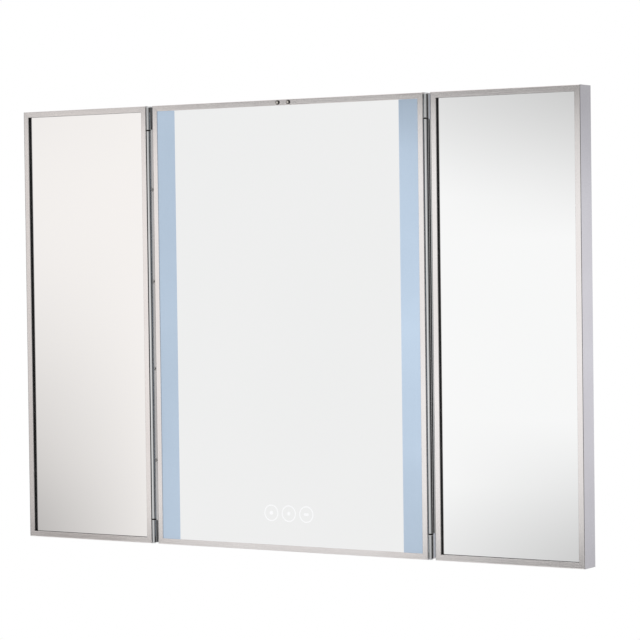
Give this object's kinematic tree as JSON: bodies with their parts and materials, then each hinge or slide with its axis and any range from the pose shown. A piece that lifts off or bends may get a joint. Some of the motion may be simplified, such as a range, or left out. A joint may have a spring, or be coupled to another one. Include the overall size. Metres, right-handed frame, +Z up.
{
  "type": "lighted vanity mirror",
  "caption": "Wall-hung tri-fold vanity mirror with side wings on full-height hinges, frosted light windows and touch controls.",
  "frame": {"origin": "centre of the wall cleat's back face, on the wall plane", "axes": "+Z up, -Y out of the wall towards the user, +X to the viewer's right along the three panels"},
  "size_m": [1.1066, 0.0464, 0.762],
  "materials": {
    "black_plastic": "moulded",
    "black_rubber": "soft",
    "cleat_steel": "galvanised",
    "coated_sheet": "powder coated",
    "core_paper": "honeycomb board",
    "dark_chrome": "polished",
    "driver_case": "moulded",
    "frosted_glass": "frosted, lit from behind",
    "green_board": "green solder mask",
    "grey_foam": "closed cell",
    "hinge_chrome": "polished",
    "lead_insulation": "insulated wire",
    "led_chip": "phosphor",
    "mill_aluminium": "mill finish",
    "mirror_glass": "silvered glass",
    "nylon": "moulded",
    "polished_frame": "bright polished",
    "screw_steel": "zinc plated",
    "supply_insulation": "insulated wire",
    "terminal_plastic": "moulded",
    "touch_mark": "etched, lit from behind",
    "white_board": "white solder mask",
    "zinc": "zinc plated"
  },
  "bodies": {
    "wall_bracket": {"wall_cleat": "cleat_steel"},
    "mirror": {"back_pan": "coated_sheet", "back_screws": "screw_steel", "center_corner_keys": "zinc", "center_mirror_glass": "mirror_glass", "center_rail_bottom": "polished_frame", "center_rail_left": "polished_frame", "center_rail_right": "polished_frame", "center_rail_top": "polished_frame", "closing_magnets": "dark_chrome", "entry_bushing": "black_plastic", "glass_blocks": "grey_foam", "hanging_cleat": "cleat_steel", "hinge_fixed_screws": "screw_steel", "junction_cover": "coated_sheet", "led_board_left": "white_board", "led_board_right": "white_board", "led_channel_left": "mill_aluminium", "led_channel_right": "mill_aluminium", "led_chips": "led_chip", "led_driver": "driver_case", "left_hinge_fixed_leaf": "hinge_chrome", "left_hinge_pin": "hinge_chrome", "left_hinge_washers": "nylon", "light_window_left": "frosted_glass", "light_window_right": "frosted_glass", "low_voltage_leads": "lead_insulation", "right_hinge_fixed_leaf": "hinge_chrome", "right_hinge_pin": "hinge_chrome", "right_hinge_washers": "nylon", "supply_leads": "supply_insulation", "terminal_block": "terminal_plastic", "touch_board": "green_board", "touch_rings": "touch_mark", "wall_feet": "black_rubber"},
    "left_wing": {"left_hinge_wing_leaf": "hinge_chrome", "left_wing_back_cover": "coated_sheet", "left_wing_core_board": "core_paper", "left_wing_corner_keys": "zinc", "left_wing_gasket": "black_rubber", "left_wing_glass": "mirror_glass", "left_wing_rail_bottom": "polished_frame", "left_wing_rail_free": "polished_frame", "left_wing_rail_hinge": "polished_frame", "left_wing_rail_top": "polished_frame", "left_wing_screws": "screw_steel", "left_wing_strike": "zinc"},
    "right_wing": {"right_hinge_wing_leaf": "hinge_chrome", "right_wing_back_cover": "coated_sheet", "right_wing_core_board": "core_paper", "right_wing_corner_keys": "zinc", "right_wing_gasket": "black_rubber", "right_wing_glass": "mirror_glass", "right_wing_rail_bottom": "polished_frame", "right_wing_rail_free": "polished_frame", "right_wing_rail_hinge": "polished_frame", "right_wing_rail_top": "polished_frame", "right_wing_screws": "screw_steel", "right_wing_strike": "zinc"}
  },
  "joints": [
    {"name": "lift_off", "type": "slide", "parent": "wall_bracket", "child": "mirror", "axis": [0, 0, 1], "range_m": [0, 0.02]},
    {"name": "left_wing_fold", "type": "hinge", "parent": "mirror", "child": "left_wing", "pos_m": [-0.277, -0.042, -0.238], "axis": [0, 0, 1], "range_deg": [0, 180]},
    {"name": "right_wing_fold", "type": "hinge", "parent": "mirror", "child": "right_wing", "pos_m": [0.277, -0.042, -0.238], "axis": [0, 0, -1], "range_deg": [0, 180]}
  ]
}
